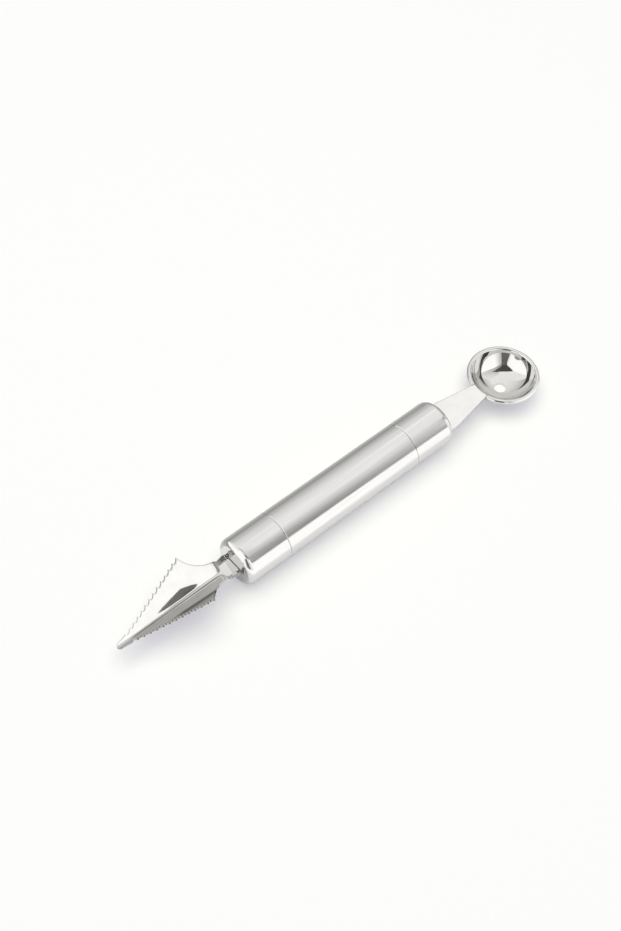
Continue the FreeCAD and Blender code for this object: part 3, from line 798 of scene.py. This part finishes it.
# Studio: a large soft lamp high over the tool, even light from all round, and reflector boards.
# The boards show only in the metal, as the white and grey cards of a photo studio do.
lamp_place = (0, 0.12, 2.1)
fill_light = (0.31, 0.295, 0.44, 1)
room_white = 1.06
card_white = 1.25
rightward = (1, 0, 0)
farther = (0, 1, 0)
upward = (0, 0, 1)
lamp = bpy.data.lights.new("soft_lamp", "AREA")
lamp.shape = "DISK"
lamp.size = 2.5
lamp.energy = 42.5
lamp.color = linear("#FDFFE6")[:3]
soft_lamp = bpy.data.objects.new("soft_lamp", lamp)
soft_lamp.location = lamp_place
soft_lamp.rotation_euler = (Vector((0, 0, 0)) - soft_lamp.location).to_track_quat("-Z", "Y").to_euler()
soft_lamp.visible_glossy = False
bpy.context.collection.objects.link(soft_lamp)

# The room is white to the eye and in the metal, and gives the paper a weaker, cool light.
world = bpy.data.worlds.new("white_room")
bpy.context.scene.world = world
world.use_nodes = True
tree = world.node_tree
tree.nodes.clear()
ray = add_node(tree, "ShaderNodeLightPath")
seen = add_node(tree, "ShaderNodeMixRGB", {
    "Fac": ray.outputs["Is Glossy Ray"], "Color1": fill_light,
    "Color2": (room_white, room_white, room_white, 1)})
shown = add_node(tree, "ShaderNodeMixRGB", {
    "Fac": ray.outputs["Is Camera Ray"], "Color1": seen.outputs["Color"], "Color2": (1, 1, 1, 1)})
room = add_node(tree, "ShaderNodeBackground", {"Color": shown.outputs["Color"], "Strength": 1.0})
add_node(tree, "ShaderNodeOutputWorld", {"Surface": room.outputs["Background"]})


def board(name, corners, direction, tones):
    """A reflector board, with corners in mm. Its tone changes with the distance along a direction."""
    piece = new_piece(name, [[part * mm for part in corner] for corner in corners],
                      faces=[tuple(range(len(corners)))])
    face = new_material(name)
    tree = face.node_tree
    place = add_node(tree, "ShaderNodeTexCoord")
    reach = add_node(tree, "ShaderNodeVectorMath", {
        0: place.outputs["Object"], 1: direction}, operation="DOT_PRODUCT")
    start = tones[0][0]
    end = tones[-1][0]
    share = add_node(tree, "ShaderNodeMapRange", {
        "Value": reach.outputs["Value"], "From Min": start * mm, "From Max": end * mm})
    fade = add_node(tree, "ShaderNodeValToRGB", {"Fac": share.outputs["Result"]})
    ramp = fade.color_ramp
    # A new ramp already has two stops.
    for at, (spot, tone) in enumerate(tones):
        position = (spot - start) / (end - start)
        stop = ramp.elements[at] if at < 2 else ramp.elements.new(position)
        stop.position = position
        stop.color = (tone, tone, tone, 1)
    glow = add_node(tree, "ShaderNodeEmission", {"Color": fade.outputs["Color"], "Strength": room_white})
    add_node(tree, "ShaderNodeOutputMaterial", {"Surface": glow.outputs["Emission"]})
    piece.data.materials.append(face)
    piece.visible_camera = False
    piece.visible_diffuse = False
    piece.visible_shadow = False
    piece.visible_transmission = False


def standing(y, outline):
    """Corners of a board that stands along the tool, from its outline in x and z."""
    return [(x, y, z) for x, z in outline]


def lying(z, outline):
    """Corners of a board that lies level, from its outline in x and y."""
    return [(x, y, z) for x, y in outline]


def tilted(middle, first_way, second_way, outline):
    """Corners of a board on a slanting plane, from its outline along two directions."""
    first_way = np.array(first_way)
    second_way = np.array(second_way)
    return [np.array(middle) + first * first_way + second * second_way for first, second in outline]


# On the near side stand white boards, with dark and grey ones beside and behind them, and a small dark
# flag close to the blade.
board("near_white_board",
      standing(-300, [(-100, 0), (55, 0), (55, 190), (85, 350), (-100, 350)]),
      rightward, [(-100, 0.8), (-45, 1.0), (-15, card_white), (55, card_white)])
board("near_tail_board",
      standing(-299, [(-115, 380), (-39, 420), (28, 504), (75, 560), (88, 600),
                      (60, 640), (10, 715), (-92, 800), (-115, 800)]),
      rightward, [(-115, 0.09), (88, 0.09)])
board("near_low_board",
      standing(-300, [(55, 0), (900, 0), (900, 60), (300, 60), (209, 88),
                      (143, 120), (75, 138), (55, 145)]),
      upward, [(0, card_white), (150, card_white)])
board("near_right_board",
      standing(-301, [(255, 60), (900, 60), (900, 75), (732, 90), (530, 188),
                      (360, 254), (300, 290), (255, 215)]),
      upward, [(0, card_white), (300, card_white)])
board("near_dark_board",
      standing(-302, [(55, 0), (900, 0), (900, 1000), (55, 1000)]),
      (2.2, 0, 1), [(300, 0.3), (466, 0.35), (620, 0.48), (765, 0.6), (956, 0.72),
                    (1152, 0.79), (1478, 0.86), (2000, 0.92)])
board("blade_flag",
      standing(-30, [(-56.3, 29.8), (-58.7, 31.2), (-61.6, 32.9), (-64.3, 34.4),
                     (-72.2, 34.9), (-76.8, 35.3), (-73.2, 33.7), (-70.4, 32),
                     (-66.7, 30), (-62.5, 28.4), (-57.5, 28.4)]),
      rightward, [(-77, 0.22), (-56, 0.15)])

# One board stands beyond each end of the tool, white on the left and grey on the right.
board("left_board",
      [(-900, -450, 0), (-900, 450, 0), (-900, 450, 1000), (-900, 311, 1150), (-900, -450, 1100)],
      upward, [(0, card_white), (1150, card_white)])
board("right_board",
      [(900, -300, 0), (900, 450, 0), (900, 450, 900), (900, -300, 900)],
      upward, [(0, 0.12), (45, 0.14), (60, 0.38), (290, 0.58), (600, 0.8), (900, 0.9)])

# On the far side a grey board grows lighter upward, a white one stands to its left, and a dark strip
# runs along the foot of both.
board("far_horizon_strip",
      standing(448, [(-900, 0), (600, 0), (600, 14), (110, 14), (90, 36), (-900, 36)]),
      upward, [(0, 0.12), (36, 0.14)])
board("far_board",
      standing(450, [(-100, 0), (900, 0), (900, 1200), (-100, 1200)]),
      upward, [(0, 0.42), (50, 0.465), (114, 0.533), (183, 0.61), (259, 0.685),
               (348, 0.787), (458, 0.855), (815, 0.94), (1200, 1.0)])
board("far_white_board",
      standing(449, [(-900, 0), (-70, 0), (-70, 17), (-155, 109), (-269, 243),
                     (-409, 430), (-646, 755), (-900, 1000)]),
      upward, [(0, card_white), (1000, card_white)])

# Two boards lie just above the paper and give the tone of the table that the metal shows.
board("far_table_board",
      lying(0.3, [(-300, 13), (900, 13), (900, 450), (-300, 450)]),
      farther, [(13, 0.69), (24, 0.63), (38, 0.52), (53, 0.46), (88, 0.415), (450, 0.43)])
board("near_table_board",
      lying(0.3, [(-300, -300), (900, -300), (900, -12), (-300, -12)]),
      farther, [(-300, card_white), (-42, card_white), (-34, 1.12), (-29, 0.95), (-23, 0.89),
                (-16, 0.87), (-12, 0.74)])

# Three small cards stand close to the bowl: white below, grey above it and dark at the top.
board("bowl_card",
      standing(-30, [(72, 5), (190, 5), (190, 10), (167, 22), (143, 28), (124, 35),
                     (106, 42), (97, 45), (88, 46), (72, 46)]),
      rightward, [(72, 0.55), (78, 0.85), (84, 1.1), (90, card_white), (190, card_white)])
board("bowl_grey_card",
      standing(-29, [(72, 45), (88, 45), (97, 44), (106, 41), (124, 34), (143, 27),
                     (150, 27), (150, 45), (112, 60), (77, 60), (72, 50)]),
      rightward, [(72, 0.4), (97, 0.6), (125, 0.78), (150, 0.85)])
board("bowl_dark_card",
      standing(-28, [(109, 51), (99, 54), (86, 55), (78, 53), (80, 60), (85, 70), (90, 78), (95, 73)]),
      rightward, [(78, 0.09), (95, 0.1), (109, 0.3)])

# Cards hang over the blade and its shoulder, and one stands high on the far side for the shank.
board("shoulder_card",
      lying(150, [(-180, -90), (-80, -90), (-80, 30), (-180, 30)]),
      rightward, [(-180, card_white), (-80, card_white)])
board("blade_grey_card",
      tilted((-35, -10, 150), (-0.67, -0.054, 0.74), (-0.26, 0.951, -0.166),
             [(-32, -55), (15, -55), (45, 20), (45, 70), (5, 70), (-32, 10)]),
      rightward, [(-79, 0.6), (-35, 0.62), (-5, 0.72)])
board("leaf_card",
      lying(150, [(-34, -138), (-12, -138), (-12, -95), (-34, -95)]),
      rightward, [(-34, 0.2), (-12, 0.18)])
board("shank_card",
      standing(440, [(540, 800), (820, 800), (820, 1200), (540, 1200)]),
      rightward, [(540, 0.95), (600, 1.14), (760, 1.14), (820, 0.95)])

# Dark boards stand for what is on the camera's side of the room.
board("camera_band",
      tilted((-462, -431, 0), (0.616, -0.788, 0), upward,
             [(250, 0), (217, 185), (204, 448), (202, 612), (204, 884), (-131, 884),
              (-131, 680), (-100, 545), (-95, 390), (-113, 128), (-126, 0)]),
      upward, [(0, 0.17), (500, 0.15), (884, 0.1)])
board("camera_triangle",
      lying(690, [(253, -444), (-15, -443), (-240, -460), (-551, -333), (-530, -84),
                  (-483, 158), (-111, -189)]),
      rightward, [(-551, 0.08), (253, 0.08)])

# Camera: over the blade's near side, looking down on the tool at the photograph's angle.
camera_place = (-0.21245, -0.19823, 0.43633)
camera_data = bpy.data.cameras.new("camera")
camera_data.lens = 52.18
camera_data.sensor_width = 36.0
camera_data.clip_start = 0.01
camera = bpy.data.objects.new("camera", camera_data)
look = Vector((0.40478, 0.40991, -0.81739)).normalized()
upright = Vector((0.51893, 0.63303, 0.57444))
right = look.cross(upright).normalized()
turned_camera = Matrix((right, right.cross(look), -look)).transposed().to_4x4()
camera.matrix_world = Matrix.Translation(camera_place) @ turned_camera
bpy.context.collection.objects.link(camera)
bpy.context.scene.camera = camera
